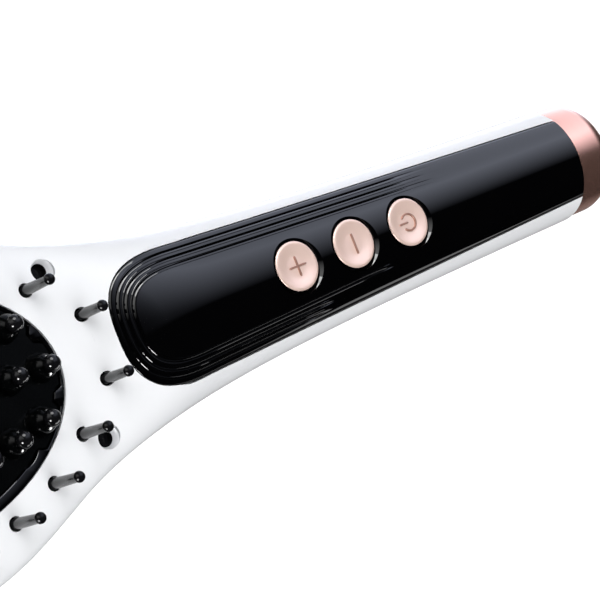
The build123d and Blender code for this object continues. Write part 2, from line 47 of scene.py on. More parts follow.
bodyOf = {node: body for body, nodes in frame["record"]["behaviour"]["bodies"].items() for node in nodes}

# The housing's form, as in the solids, in millimetres
form = {
    "midZ": 15.3, "crestZ": 30.6, "faceZ": 23.6,
    "headCentre": -87.6, "headLength": 57.4, "headWidth": 42.0,
    "handleEnd": 122.4, "endWidth": 15.35, "taper": 0.0157,
    "flare": 9.87, "flareLength": 31.0, "neckStart": -38.0, "blendStart": -62.0,
    "riseStart": -43.0, "riseEnd": -8.0, "sink": 0.4, "arch": 2.5,
    "headPower": 4.0, "handlePower": 2.1, "rimPower": 5.0,
}


def softStep(x, start, end):
    t = np.clip((np.asarray(x, float) - start) / (end - start), 0.0, 1.0)
    return t * t * (3.0 - 2.0 * t)


def headOutline(x):
    u = (x - form["headCentre"]) / form["headLength"]
    return form["headWidth"] * np.sqrt(np.maximum(1e-6, 1.0 - u * u))


def neckOutline(x):
    flare = form["flare"] * np.exp(-(x - form["neckStart"]) / form["flareLength"])
    return form["endWidth"] + form["taper"] * (form["handleEnd"] - x) + flare


def slopeOf(outline, x, step=0.001):
    return (outline(x + step) - outline(x - step)) / (2 * step)


def halfWidth(x):
    x = np.asarray(x, float)
    start, end = form["blendStart"], form["neckStart"]
    run = end - start
    t = np.clip((x - start) / run, 0.0, 1.0)
    a, b = headOutline(start), neckOutline(end)
    leanA, leanB = slopeOf(headOutline, start), slopeOf(neckOutline, end)
    blend = ((2 * t**3 - 3 * t**2 + 1) * a + (3 * t**2 - 2 * t**3) * b
             + (t**3 - 2 * t**2 + t) * run * leanA + (t**3 - t**2) * run * leanB)
    wide = np.where(x <= start, headOutline(np.minimum(x, start)), blend)
    return np.where(x >= end, neckOutline(np.maximum(x, end)), wide)


def rimShare(x):
    u = np.clip((form["headCentre"] - np.asarray(x, float)) / form["headLength"], 0.0, 0.99999)
    return (1.0 - u ** form["rimPower"]) ** (1.0 / form["rimPower"])


def upperHeight(x):
    rise = (form["crestZ"] - form["faceZ"]) * softStep(x, form["riseStart"], form["riseEnd"])
    return (form["faceZ"] - form["midZ"] + rise) * rimShare(x)


def lowerHeight(x):
    run = np.clip((np.asarray(x, float) - form["riseStart"]) / (form["handleEnd"] - form["riseStart"]), 0, 1)
    arch = form["arch"] * np.sin(np.pi * run) ** 2
    sink = form["sink"] * (1.0 - softStep(x, form["blendStart"], form["riseStart"]))
    return (form["midZ"] + sink - arch) * rimShare(x)


def squareness(x):
    share = softStep(x, form["blendStart"], 0.0)
    return form["headPower"] - (form["headPower"] - form["handlePower"]) * share


def topAt(x, y):
    power = squareness(x)
    across = np.minimum(1.0, np.abs(y) / halfWidth(x))
    return form["midZ"] + upperHeight(x) * (1.0 - across**power) ** (1.0 / power)


def level(points):  # zero on the skin, negative inside
    x, y, z = points[:, 0], points[:, 1], points[:, 2] - form["midZ"]
    power = squareness(x)
    height = np.where(z > 0, upperHeight(x), lowerHeight(x))
    return (np.abs(y) / halfWidth(x)) ** power + (np.abs(z) / height) ** power - 1.0


def skinSlope(points, step=0.02):
    slope = np.empty_like(points)
    for axis in range(3):
        shift = np.zeros(3)
        shift[axis] = step
        slope[:, axis] = (level(points + shift) - level(points - shift)) / (2 * step)
    return slope


def nodeLink(tree, source, sourceName, target, targetName):
    tree.links.new(source.outputs[sourceName], target.inputs[targetName])


surface = {"detail": 3.0, "fineScale": 4.0, "grainDetail": 4.0, "grainDepth": 0.0002}


def noiseNode(tree, scale, detail):
    place = tree.nodes.new("ShaderNodeTexCoord")
    noise = tree.nodes.new("ShaderNodeTexNoise")
    noise.inputs["Scale"].default_value = scale
    noise.inputs["Detail"].default_value = detail
    nodeLink(tree, place, "Object", noise, "Vector")
    return noise


def makeMaterial(name, colour, shade, rough, roughSpread, scale, bump=0.0, bumpScale=900.0, **sockets):
    made = bpy.data.materials.new(name)
    made.use_nodes = True
    tree = made.node_tree
    shader = tree.nodes["Principled BSDF"]
    noise = noiseNode(tree, scale, surface["detail"])
    blend = tree.nodes.new("ShaderNodeMix")
    blend.data_type = "RGBA"
    blend.inputs["A"].default_value = (*colour, 1.0)
    blend.inputs["B"].default_value = (*shade, 1.0)
    nodeLink(tree, noise, "Fac", blend, "Factor")
    nodeLink(tree, blend, "Result", shader, "Base Color")
    spread = tree.nodes.new("ShaderNodeMapRange")
    spread.inputs["To Min"].default_value = rough
    spread.inputs["To Max"].default_value = rough + roughSpread
    fine = noiseNode(tree, scale * surface["fineScale"], surface["detail"])
    nodeLink(tree, fine, "Fac", spread, "Value")
    nodeLink(tree, spread, "Result", shader, "Roughness")
    if bump:
        grain = noiseNode(tree, bumpScale, surface["grainDetail"])
        relief = tree.nodes.new("ShaderNodeBump")
        relief.inputs["Strength"].default_value = bump
        relief.inputs["Distance"].default_value = surface["grainDepth"]
        nodeLink(tree, grain, "Fac", relief, "Height")
        nodeLink(tree, relief, "Normal", shader, "Normal")
    for socket, value in sockets.items():
        shader.inputs[socket.replace("_", " ")].default_value = value
    return made


looks = {
    "white_housing": dict(colour=(0.80, 0.81, 0.83), shade=(0.77, 0.78, 0.80), rough=0.10, roughSpread=0.05,
                          scale=60.0, bump=0.01, bumpScale=300.0, IOR=1.5),
    "black_panel": dict(colour=(0.0006, 0.0006, 0.0008), shade=(0.001, 0.001, 0.0012), rough=0.03,
                        roughSpread=0.02, scale=80.0, IOR=1.52),
    "rose_gold": dict(colour=(0.86, 0.64, 0.56), shade=(0.83, 0.61, 0.53), rough=0.32, roughSpread=0.08,
                      scale=200.0, bump=0.05, bumpScale=2600.0, Metallic=0.4),
    # painted shade: a darker rose gold for the raised signs, standing in for the shadowed sides of their
    # strokes; the real signs have the cap's own colour
    "rose_gold_painted_shade": dict(colour=(0.42, 0.24, 0.19), shade=(0.36, 0.20, 0.15), rough=0.3, roughSpread=0.08,
                             scale=200.0, bump=0.05, bumpScale=2600.0, Metallic=0.5),
    "rose_gold_polished": dict(colour=(0.82, 0.46, 0.37), shade=(0.79, 0.43, 0.34), rough=0.22,
                               roughSpread=0.04, scale=200.0, Metallic=0.93),
    "black_plastic": dict(colour=(0.003, 0.003, 0.0035), shade=(0.005, 0.005, 0.006), rough=0.10,
                          roughSpread=0.06, scale=300.0, bump=0.02, bumpScale=2000.0,
                          Specular_IOR_Level=0.2),
    "black_coating": dict(colour=(0.0008, 0.0010, 0.0011), shade=(0.0014, 0.0016, 0.0018), rough=0.14,
                          roughSpread=0.04, scale=250.0, bump=0.01, bumpScale=900.0,
                          Specular_IOR_Level=0.14),
    "ceramic": dict(colour=(0.82, 0.80, 0.74), shade=(0.76, 0.74, 0.68), rough=0.6, roughSpread=0.2,
                    scale=300.0, bump=0.1),
    "cast_aluminium": dict(colour=(0.70, 0.70, 0.72), shade=(0.62, 0.62, 0.64), rough=0.38, roughSpread=0.2,
                           scale=260.0, bump=0.15, bumpScale=1500.0, Metallic=1.0),
    "silicone": dict(colour=(0.74, 0.74, 0.71), shade=(0.68, 0.68, 0.65), rough=0.5, roughSpread=0.15,
                     scale=120.0, bump=0.05),
    "grey_plastic": dict(colour=(0.70, 0.71, 0.73), shade=(0.66, 0.67, 0.69), rough=0.25, roughSpread=0.1,
                         scale=200.0, bump=0.03),
    "smoke_tank": dict(colour=(0.16, 0.16, 0.18), shade=(0.13, 0.13, 0.15), rough=0.08, roughSpread=0.06,
                       scale=120.0, bump=0.02, bumpScale=400.0, Transmission_Weight=0.55, IOR=1.49),
    "black_rubber": dict(colour=(0.02, 0.02, 0.02), shade=(0.035, 0.035, 0.035), rough=0.6, roughSpread=0.2,
                         scale=400.0, bump=0.1, bumpScale=1800.0),
    "circuit_board": dict(colour=(0.02, 0.20, 0.07), shade=(0.03, 0.26, 0.09), rough=0.3, roughSpread=0.2,
                          scale=500.0, bump=0.05),
    "steel": dict(colour=(0.60, 0.60, 0.61), shade=(0.52, 0.52, 0.54), rough=0.28, roughSpread=0.15,
                  scale=300.0, bump=0.08, bumpScale=1500.0, Metallic=1.0),
}
materials = {slot: makeMaterial(slot, **look) for slot, look in looks.items()}
for nodeName, nodeObject in frame["nodes"].items():
    nodeObject.data.materials.clear()
    nodeObject.data.materials.append(materials[slotOf[nodeName]])
print("materials made")


def shadeByAngle(mesh, angle):
    mesh.polygons.foreach_set("use_smooth", [True] * len(mesh.polygons))
    mesh.set_sharp_from_angle(angle=math.radians(angle))


def faceOutwards(mesh):
    turned = bmesh.new()
    turned.from_mesh(mesh)
    bmesh.ops.recalc_face_normals(turned, faces=turned.faces)
    turned.to_mesh(mesh)
    turned.free()


def settle(piece, node, replace=True, finish=None):
    piece.data.materials.clear()
    piece.data.materials.append(materials[finish or slotOf[node]])
    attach(piece, bodyOf[node])
    if replace:
        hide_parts(node)
    return piece


def newPiece(name, part, node, replace=True, creaseAngle=35.0, finish=None):
    vertices, faces = part
    mesh = bpy.data.meshes.new(name)
    mesh.from_pydata((np.asarray(vertices, float) * mm).tolist(), [], faces)
    mesh.validate()
    faceOutwards(mesh)
    piece = bpy.data.objects.new(name, mesh)
    bpy.context.scene.collection.objects.link(piece)
    shadeByAngle(mesh, creaseAngle)
    return settle(piece, node, replace, finish)


def turnedPart(profile, sides, closed=False):  # (radius, height) points turned about Z
    vertices, faces, rows = [], [], []
    for radius, height in profile:
        if radius < 1e-6:
            rows.append([len(vertices)] * sides)
            vertices.append((0.0, 0.0, height))
            continue
        rows.append(list(range(len(vertices), len(vertices) + sides)))
        for i in range(sides):
            angle = 2 * math.pi * i / sides
            vertices.append((radius * math.cos(angle), radius * math.sin(angle), height))
    pairs = list(zip(rows, rows[1:])) + ([(rows[-1], rows[0])] if closed else [])
    for low, high in pairs:
        for i in range(sides):
            k = (i + 1) % sides
            corner = [low[i], low[k], high[k], high[i]]
            corner = [c for n, c in enumerate(corner) if c not in corner[:n]]
            if len(corner) > 2:
                faces.append(corner)
    return np.array(vertices), faces


def joined(parts):
    vertices, faces, start = [], [], 0
    for points, cells in parts:
        vertices.append(np.asarray(points, float))
        faces += [[start + i for i in cell] for cell in cells]
        start += len(points)
    return np.vstack(vertices), faces


def placed(part, x, y):
    return part[0] + np.array([x, y, 0.0]), part[1]


def alongX(part):  # a part turned about Z becomes one turned about the handle's axis
    points, faces = part
    return np.column_stack([points[:, 2], points[:, 1], form["midZ"] - points[:, 0]]), faces


def rounded(profile, radius, count=4):
    out = [profile[0]]
    for a, b, c in zip(profile, profile[1:], profile[2:]):
        a, b, c = Vector(a), Vector(b), Vector(c)
        cut = min(radius, (a - b).length * 0.45, (c - b).length * 0.45)
        p, q = b + (a - b).normalized() * cut, b + (c - b).normalized() * cut
        for i in range(count + 1):
            t = i / count
            out.append(tuple((1 - t) ** 2 * p + 2 * t * (1 - t) * b + t * t * q))
    return out + [profile[-1]]


shellValues = {"longestEdge": 3.0, "reach": 0.3, "passes": 6, "agree": 0.75, "crease": 30.0, "weld": 0.001,
               "flush": 0.005, "moves": 3}


def skinFaces(shell):  # the faces of a shell that lie on the form's outer skin
    points = np.array([v.co for v in shell.verts]) / mm
    slope = skinSlope(points)
    size = np.maximum(1e-6, np.linalg.norm(slope, axis=1))
    near = np.abs(level(points)) / size < shellValues["reach"]
    normals = slope / size[:, None]
    shell.verts.index_update()
    found = []
    for face in shell.faces:
        corners = [v.index for v in face.verts]
        if all(near[i] for i in corners) and all(np.dot(normals[i], face.normal) > shellValues["agree"]
                                                 for i in corners):
            found.append(face)
    return found


def divideSkin(shell):
    for _ in range(shellValues["passes"]):
        shell.normal_update()
        longest = shellValues["longestEdge"] * mm
        edges = {e for f in skinFaces(shell) for e in f.edges if e.calc_length() > longest}
        if not edges:
            return
        bmesh.ops.subdivide_edges(shell, edges=list(edges), cuts=1)
        bmesh.ops.triangulate(shell, faces=[f for f in shell.faces if len(f.verts) > 3])


def ontoForm(points, old):  # points moved to the form, kept on the parting plane and the handle's end
    for _ in range(shellValues["moves"]):
        slope = skinSlope(points)
        points = points - (level(points) / np.maximum(1e-9, (slope**2).sum(axis=1)))[:, None] * slope
    onParting = np.abs(old[:, 2] - form["midZ"]) < shellValues["flush"]
    onEnd = np.abs(old[:, 0] - form["handleEnd"]) < shellValues["flush"]
    points[onParting, 2] = form["midZ"]
    points[onEnd, 0] = form["handleEnd"]
    points[:, 2] = np.maximum(points[:, 2], 0.0)
    return points


def smoothShell(node):  # copy of a shell's solid with its outer skin made fine and truly round
    mesh = frame["nodes"][node].data.copy()
    mesh.name = node + "_shell"
    shell = bmesh.new()
    shell.from_mesh(mesh)
    bmesh.ops.remove_doubles(shell, verts=shell.verts, dist=shellValues["weld"] * mm)
    bmesh.ops.triangulate(shell, faces=shell.faces)
    divideSkin(shell)
    shell.normal_update()
    skin = skinFaces(shell)
    shell.faces.index_update()
    skinIds = {f.index for f in skin}
    shell.verts.ensure_lookup_table()
    corners = sorted({v.index for f in skin for v in f.verts})
    old = np.array([shell.verts[i].co for i in corners]) / mm
    for i, point in zip(corners, ontoForm(old.copy(), old)):
        shell.verts[i].co = Vector(point * mm)
    for edge in shell.edges:
        linked = [f.index in skinIds for f in edge.link_faces]
        edge.smooth = not (any(linked) and not all(linked))
    shell.to_mesh(mesh)
    shell.free()
    piece = bpy.data.objects.new(node + "_shell", mesh)
    bpy.context.scene.collection.objects.link(piece)
    border = [e.use_edge_sharp for e in mesh.edges]
    shadeByAngle(mesh, shellValues["crease"])
    for edge, sharp in zip(mesh.edges, border):
        edge.use_edge_sharp = edge.use_edge_sharp or sharp
    slope = skinSlope(np.array([v.co for v in mesh.vertices]) / mm)
    trueNormals = slope / np.maximum(1e-9, np.linalg.norm(slope, axis=1))[:, None]
    normals = np.zeros((len(mesh.loops), 3))  # a zero keeps the mesh's own normal
    for face in mesh.polygons:
        if face.index in skinIds:
            for i in face.loop_indices:
                normals[i] = trueNormals[mesh.loops[i].vertex_index]
    mesh.normals_split_custom_set(normals.tolist())
    return settle(piece, node)


for shellNode in ("front_cover", "back_cover"):
    smoothShell(shellNode)
print("shells made")


panel = {
    "thickness": 1.55, "endWidth": 10.85, "taper": 0.0378,
    "noseStart": -9.0, "noseLength": 18.3, "nosePower": 2.8,
    "grooves": (1.2, 2.9, 4.6), "grooveDepth": 0.48, "wall": 0.15, "floor": 0.34, "shoulder": 1.0,
    "wallFoot": (0.4, 0.3), "wallShare": 0.95, "shoulderSteps": 8,
    "crease": 0.12, "creaseWidth": 0.14, "creaseFloor": 0.02,
    "bandCrown": 0.14, "crownAt": (0.3, 0.55, 0.8), "edgeRound": 0.6, "inside": 0.3,
    "fadeHigh": ((48.0, 80.0),) * 3, "fadeLow": ((12.0, 34.0), (16.0, 38.0), (40.0, 56.0)),
    "sidePoints": 150, "nosePoints": 64, "middlePoints": 48,
    "wellRadius": 7.2, "wellDepth": 1.25, "holeRadius": 6.25, "wellRound": 0.2, "wellSides": 128,
    "wellShift": (0.35, -0.3), "wellFlare": 0.9, "wellAbove": 1.6, "wellBelow": 9.0, "wellStraight": 2.0,
    "wellMargin": 0.05, "weld": 0.0002, "smallest": 0.00001, "creaseAngle": 32.0,
}
buttonX = {"button_plus": 23.0, "button_minus": 41.25, "button_power": 59.5}


def panelContour(inset):  # one side of the panel's outline, from the handle's end round to the nose
    wide = panel["endWidth"] + panel["taper"] * (form["handleEnd"] - panel["noseStart"]) - inset
    end = panel["endWidth"] - inset
    length = panel["noseLength"] - inset
    x = np.linspace(form["handleEnd"], panel["noseStart"], panel["sidePoints"], endpoint=False)
    y = end + (wide - end) * (form["handleEnd"] - x) / (form["handleEnd"] - panel["noseStart"])
    angle = np.linspace(math.pi / 2, 0.0, panel["nosePoints"] + 1)
    power = 2.0 / panel["nosePower"]
    noseX = panel["noseStart"] - length * np.abs(np.cos(angle)) ** power
    noseY = wide * np.abs(np.sin(angle)) ** power
    return np.concatenate([x, noseX]), np.concatenate([y, noseY])


def grooveShape():  # (distance inwards, depth) across one groove: a steep wall, a rounded shoulder, a crease
    deep, wall, flat, end = (panel[k] for k in ("grooveDepth", "wall", "floor", "shoulder"))
    foot, sunk = panel["wallFoot"]
    shape = [(0.0, 0.0), (wall * foot, deep * sunk), (wall, deep * panel["wallShare"]),
             ((wall + flat) / 2, deep)]
    steps = panel["shoulderSteps"]
    for i in range(steps + 1):
        t = i / steps
        shape.append((flat + (end - flat) * t, deep * (1 - t) ** 2))
    middle, half = end + panel["creaseWidth"] / 2, panel["creaseFloor"]
    return shape + [(middle - half, panel["crease"]), (middle + half, panel["crease"]),
                    (end + panel["creaseWidth"], 0.0)]


def bandPoints():  # (distance from the panel's edge, depth below the plain form, number of the groove)
    edge = panel["edgeRound"]
    points = []
    for angle in range(0, 91, 15):
        inset = edge * (1 - math.cos(math.radians(angle)))
        points.append((inset, edge * (1 - math.sin(math.radians(angle))), None))
    for number, start in enumerate(panel["grooves"]):
        last = points[-1][0]
        for share in panel["crownAt"]:
            crown = panel["bandCrown"] * (2 * share - 1) ** 2 if number else 0.0
            points.append((last + (start - last) * share, crown, number))
        points += [(start + along, deep, number) for along, deep in grooveShape()]
    return points + [(points[-1][0] + panel["inside"], 0.0, None)]


def panelRows():  # one cross-section of points for each place along the outline
    rings, mirrored = [], []
    for inset, depth, number in bandPoints():
        x, y = panelContour(inset)
        for side, fades, kept in ((1, panel["fadeHigh"], rings), (-1, panel["fadeLow"], mirrored)):
            stays = 1.0 if number is None else 1.0 - softStep(x, *fades[number])
            kept.append(np.column_stack([x, side * y, topAt(x, y) - depth * stays]))
    x, y = rings[-1][:, 0], rings[-1][:, 1]
    middle = panel["middlePoints"]
    across = [y * (1 - 2 * k / middle) for k in range(1, middle)]
    inner = [np.column_stack([x, side, topAt(x, side)]) for side in across]
    return np.stack(rings + inner + mirrored[::-1], axis=1)


def gridFaces(rows, columns, start, flip=False):
    faces = []
    for i in range(rows - 1):
        for k in range(columns - 1):
            a = start + i * columns + k
            face = [a, a + 1, a + columns + 1, a + columns]
            faces.append(face[::-1] if flip else face)
    return faces


def panelPart():
    top = panelRows()
    rows, columns = top.shape[:2]
    under = top.copy()
    under[:, :, 2] = np.minimum(top[:, :, 2], topAt(top[:, :, 0], top[:, :, 1])) - panel["thickness"]
    count = rows * columns
    faces = gridFaces(rows, columns, 0) + gridFaces(rows, columns, count, flip=True)
    first = [i * columns for i in range(rows)]
    last = [i + columns - 1 for i in first]
    for line, flip in ((first, False), (last, True), (list(range(columns)), True)):
        for a, b in zip(line, line[1:]):
            face = [a, b, count + b, count + a]
            faces.append(face[::-1] if flip else face)
    return np.vstack([top.reshape(-1, 3), under.reshape(-1, 3)]), faces


def wellCutter():  # the wells of all three buttons, bent to follow the panel's surface
    hole, well, crest = panel["holeRadius"], panel["wellRadius"], form["crestZ"]
    above, below = crest + panel["wellAbove"], crest - panel["wellBelow"]
    profile = [(0.0, below), (hole, below)]
    profile += rounded([(hole, below + panel["wellStraight"]), (hole, crest - panel["wellDepth"]),
                        (well, crest + panel["wellMargin"]), (well + panel["wellFlare"], above)],
                       panel["wellRound"], 5)
    profile += [(0.0, above)]
    wellPart = turnedPart(profile, panel["wellSides"])
    points, faces = joined([placed(wellPart, x, 0.0) for x in buttonX.values()])
    centres = np.array(list(buttonX.values()))
    near = centres[np.argmin(np.abs(points[:, 0][:, None] - centres), axis=1)]
    away = np.hypot(points[:, 0] - near, points[:, 1])
    share = np.minimum(1.0, hole / np.maximum(away, 1e-9)) ** 0.5
    points[:, 2] += topAt(near + (points[:, 0] - near) * share, points[:, 1] * share) - crest
    lean = np.clip((away - hole) / (well - hole), 0.0, 1.0)[:, None]
    points[:, :2] += lean * np.array(panel["wellShift"])
    mesh = bpy.data.meshes.new("wells")
    mesh.from_pydata((points * mm).tolist(), [], faces)
    faceOutwards(mesh)
    cutter = bpy.data.objects.new("wells", mesh)
    bpy.context.scene.collection.objects.link(cutter)
    return cutter


def makePanel():
    piece = newPiece("panel_fascia", panelPart(), "control_panel")
    clean = bmesh.new()
    clean.from_mesh(piece.data)
    bmesh.ops.remove_doubles(clean, verts=clean.verts, dist=panel["weld"] * mm)
    bmesh.ops.dissolve_degenerate(clean, edges=clean.edges, dist=panel["smallest"] * mm)
    bmesh.ops.recalc_face_normals(clean, faces=clean.faces)
    clean.to_mesh(piece.data)
    clean.free()
    cutter = wellCutter()
    cut = piece.modifiers.new("wells", "BOOLEAN")
    cut.operation = "DIFFERENCE"
    cut.object = cutter
    cut.solver = "EXACT"
    graph = bpy.context.evaluated_depsgraph_get()
    finished = bpy.data.meshes.new_from_object(piece.evaluated_get(graph))
    piece.modifiers.clear()
    piece.data = finished
    bpy.data.objects.remove(cutter)
    finished.materials.clear()
    finished.materials.append(materials[slotOf["control_panel"]])
    shadeByAngle(finished, panel["creaseAngle"])
    print("panel faces", len(finished.polygons))


makePanel()
print("panel made")


button = {
    "radius": 6.05, "rimWidth": 0.75, "rimRound": 0.35, "dish": 0.68, "dishEnd": 0.4, "dishPower": 1.2,
    "flat": 2.0, "crown": 0.1, "dishSteps": 30, "rimSteps": 8, "ringSteps": 40, "sides": 96,
    "undercut": 0.5, "lip": 0.1, "lipSlope": 0.25,
    "skirt": 4.2, "flange": 1.0, "flangeHeight": 1.0, "stemRadius": 2.0, "stemLength": 2.0,
    "signRise": 0.42, "signWidth": 0.52, "signSink": 0.35, "signEnd": 0.6, "signShift": (0.35, -0.1),
    "signSide": (0.95, 0.6), "signTop": 0.6, "signEndRise": 0.8,
    "plusReach": 2.5, "minusReach": 2.6, "powerRadius": 2.1, "powerGap": 36.0, "powerBar": (0.3, 3.0),
}


def dishHeight(radius):  # the cap's top: a rolled rim round a shallow dish
    rimZ = form["crestZ"]
    inside = button["radius"] - button["rimWidth"]
    if radius <= inside:
        rise = float(softStep(radius, button["flat"], inside + button["dishEnd"])) ** button["dishPower"]
        crown = button["crown"] * (1 - (radius / inside) ** 2) ** 2
        return rimZ - button["dish"] * (1 - rise) + crown
    out = (radius - inside) / button["rimWidth"]
    return rimZ - button["rimRound"] * (1 - math.sqrt(max(0.0, 1 - out * out)))


def capParts():  # the plated cap and the dark skirt that it clips onto
    outer, rimWidth, stem = button["radius"], button["rimWidth"], button["stemRadius"]
    inside, neck, wide = outer - rimWidth, outer - button["undercut"], outer + button["flange"]
    dish, rim = button["dishSteps"], button["rimSteps"]
    radii = [inside * math.sin(math.pi / 2 * i / dish) for i in range(dish + 1)]
    radii += [inside + rimWidth * math.sin(math.pi / 2 * i / rim) for i in range(1, rim + 1)]
    low = form["crestZ"] - button["skirt"]
    foot = low - button["flangeHeight"]
    end = foot - button["stemLength"]
    under = form["crestZ"] - button["rimRound"] - button["lip"]
    meet = under - button["lipSlope"]
    cap = [(r, dishHeight(r)) for r in radii] + [(outer, under), (neck, meet), (0.0, meet)]
    skirt = [(0.0, meet), (neck, meet), (neck, low), (wide, low), (wide, foot), (stem, foot), (stem, end),
             (0.0, end)]
    return turnedPart(cap[::-1], button["sides"]), turnedPart(skirt[::-1], button["sides"])


def signBar(outline):  # a raised sign that follows the dish along a line of centres
    half, rise, sink = button["signWidth"] / 2, button["signRise"], button["signSink"]
    side, height, flat = half * button["signSide"][0], rise * button["signSide"][1], half * button["signTop"]
    section = [(-half, -sink), (-side, height), (-flat, rise), (flat, rise), (side, height), (half, -sink)]
    vertices, faces = [], []
    centres = [Vector(p) for p in outline]
    last = len(centres) - 1
    for i, centre in enumerate(centres):
        atEnd = i in (0, last)
        along = (centres[min(last, i + 1)] - centres[max(0, i - 1)]).normalized()
        across = Vector((-along.y, along.x)) * (button["signEnd"] if atEnd else 1.0)
        for offset, lift in section:
            p = centre + across * offset + Vector(button["signShift"])
            share = button["signEndRise"] if atEnd else 1.0
            vertices.append((p.x, p.y, dishHeight(p.length) + lift * share))
    wide = len(section)
    for i in range(last):
        for k in range(wide):
            a, b = i * wide + k, i * wide + (k + 1) % wide
            faces.append([a, b, b + wide, a + wide])
    faces.append(list(range(wide)))
    faces.append([last * wide + k for k in reversed(range(wide))])
    return np.array(vertices), faces


def straight(start, end, angle, count=14):
    turn = math.radians(angle)
    steps = [start + (end - start) * i / count for i in range(count + 1)]
    return [(math.cos(turn) * s, math.sin(turn) * s) for s in steps]


def signLines():
    plus, minus = button["plusReach"], button["minusReach"]
    gap, radius = button["powerGap"], button["powerRadius"]
    steps = button["ringSteps"]
    angles = [math.radians(180 + gap + (360 - 2 * gap) * i / steps) for i in range(steps + 1)]
    ring = [(radius * math.cos(a), radius * math.sin(a)) for a in angles]
    return {"button_plus": [straight(-plus, plus, 0), straight(-plus, plus, 90)],
            "button_minus": [straight(-minus, minus, 90)],
            "button_power": [ring, straight(*button["powerBar"], 180)]}


def makeButtons():
    signs = signLines()
    for node, x in buttonX.items():
        cap, skirt = capParts()
        newPiece(node + "_cap", placed(cap, x, 0.0), node, creaseAngle=50.0)
        newPiece(node + "_skirt", placed(skirt, x, 0.0), node, replace=False, creaseAngle=50.0,
                 finish="black_plastic")
        marks = joined([placed(signBar(outline), x, 0.0) for outline in signs[node]])
        # the signs get the darker rose gold, painted shade in place of the shading of their relief
        newPiece(node + "_sign", marks, node, replace=False, creaseAngle=50.0, finish="rose_gold_painted_shade")


makeButtons()
print("buttons made")


endCap = {
    "start": 122.75, "spigot": 6.35, "inset": 0.4, "straight": 8.0, "end": 137.2, "noseRadius": 8.2,
    "edge": 0.35, "hole": 5.0, "holeEdge": 0.3, "inside": 132.6, "lipRadius": 13.05, "lipWall": 2.0,
    "lipStep": 1.0, "steps": 24, "sides": 128,
}


def makeEndCap():
    radius, nose = form["endWidth"] - endCap["inset"], endCap["noseRadius"]
    start, edge, lip = endCap["start"], endCap["edge"], endCap["lipRadius"]
    corner, spigot, bore = start + endCap["straight"], start - endCap["spigot"], lip - endCap["lipWall"]
    profile = [(bore, spigot), (lip, spigot), (lip, start)]
    for angle in range(0, 91, 15):
        turn = math.radians(angle)
        profile.append((radius - edge + edge * math.sin(turn), start + edge * (1 - math.cos(turn))))
    for i in range(endCap["steps"] + 1):
        turn = math.radians(90.0 * i / endCap["steps"])
        profile.append((nose + (radius - nose) * math.cos(turn),
                        corner + (endCap["end"] - corner) * math.sin(turn)))
    hole, end, cut, inside = endCap["hole"], endCap["end"], endCap["holeEdge"], endCap["inside"]
    profile += [(hole + cut, end), (hole, end - cut), (hole, inside), (bore - endCap["lipStep"], inside),
                (bore, corner)]
    newPiece("end_cap_shell", alongX(turnedPart(profile, endCap["sides"], closed=True)), "end_cap",
             finish="rose_gold_polished")


gland = {
    "clipStart": 131.3, "clipWidth": 1.1, "neck": 4.95, "groove": 4.3, "bore": 3.4, "headStart": 137.4,
    "headWidth": 2.0, "headRadius": 6.4, "tipRadius": 5.0, "end": 145.0, "edge": 0.8, "inside": 2.0,
    "round": 0.25, "sides": 96,
}


def makeGland():
    clip, head, end, edge = (gland[k] for k in ("clipStart", "headStart", "end", "edge"))
    neck, groove, bore, tip, wide = (gland[k] for k in ("neck", "groove", "bore", "tipRadius", "headRadius"))
    start, clipEnd, shoulder = clip - gland["inside"], clip + gland["clipWidth"], head + gland["headWidth"]
    profile = rounded([(bore, start), (neck, start), (neck, clip), (groove, clip), (groove, clipEnd),
                       (neck, clipEnd), (neck, head), (wide, head), (wide, shoulder), (tip, end - edge),
                       (tip - edge, end), (bore, end)], gland["round"], 3)
    body = turnedPart(profile, gland["sides"], closed=True)
    newPiece("gland_body", alongX(body), "cord_gland", creaseAngle=40.0)


makeEndCap()
makeGland()
print("handle end made")


plate = {
    "halfLength": 46.0, "halfWidth": 28.0, "top": 22.6, "firstMiddle": 41.2, "middleTeeth": 11,
    "firstSide": 36.4, "sideTeeth": 10, "sideIn": 10.9, "sideOut": 16.1,
    "bell": ((3.6, 0.0), (3.3, 0.4), (3.2, 1.2), (3.1, 2.2), (2.9, 3.1), (2.5, 3.9), (1.95, 4.5),
             (1.4, 4.95)),
    "topRadius": 1.3, "collarHeight": 0.3, "height": 5.2, "overlap": 0.05, "gap": 0.02, "toothSides": 48,
    "ballRadius": 2.05, "ballHeight": 3.3, "ballSteps": 18, "ballSides": 40,
    "bezelTop": 23.1, "bezelFoot": 20.5, "bezelWidth": 2.5, "scallopRadius": 6.15, "scallopRim": 0.8,
    "edgeRound": 0.45, "outerEdge": 0.1, "thinnest": 0.12, "bezelSides": 1200,
}


def toothPlaces():
    first, count = plate["firstMiddle"], plate["middleTeeth"]
    places = [(form["headCentre"] + first - 2 * first * i / (count - 1), 0.0) for i in range(count)]
    first, count = plate["firstSide"], plate["sideTeeth"]
    for i in range(count):
        along = first - 2 * first * i / (count - 1)
        out = plate["sideIn"] + (plate["sideOut"] - plate["sideIn"]) * (1 - (along / first) ** 2)
        places += [(form["headCentre"] + along, out), (form["headCentre"] + along, -out)]
    return places


def smoothLine(points, count):  # a smooth curve through listed points
    points = [np.array(p, float) for p in points]
    padded = [2 * points[0] - points[1]] + points + [2 * points[-1] - points[-2]]
    line = []
    for a, b, c, d in zip(padded, padded[1:], padded[2:], padded[3:]):
        for i in range(count):
            t = i / count
            line.append(tuple(0.5 * (2 * b + (c - a) * t + (2 * a - 5 * b + 4 * c - d) * t**2
                                     + (3 * b - a - 3 * c + d) * t**3)))
    return line + [tuple(points[-1])]


def toothPart():
    low, tall = plate["top"] - plate["overlap"], plate["top"] + plate["height"] - plate["gap"]
    profile = [(0.0, low)] + [(radius, low + height) for radius, height in smoothLine(plate["bell"], 4)]
    profile += [(plate["topRadius"], tall), (0.0, tall)]
    return turnedPart(profile, plate["toothSides"])


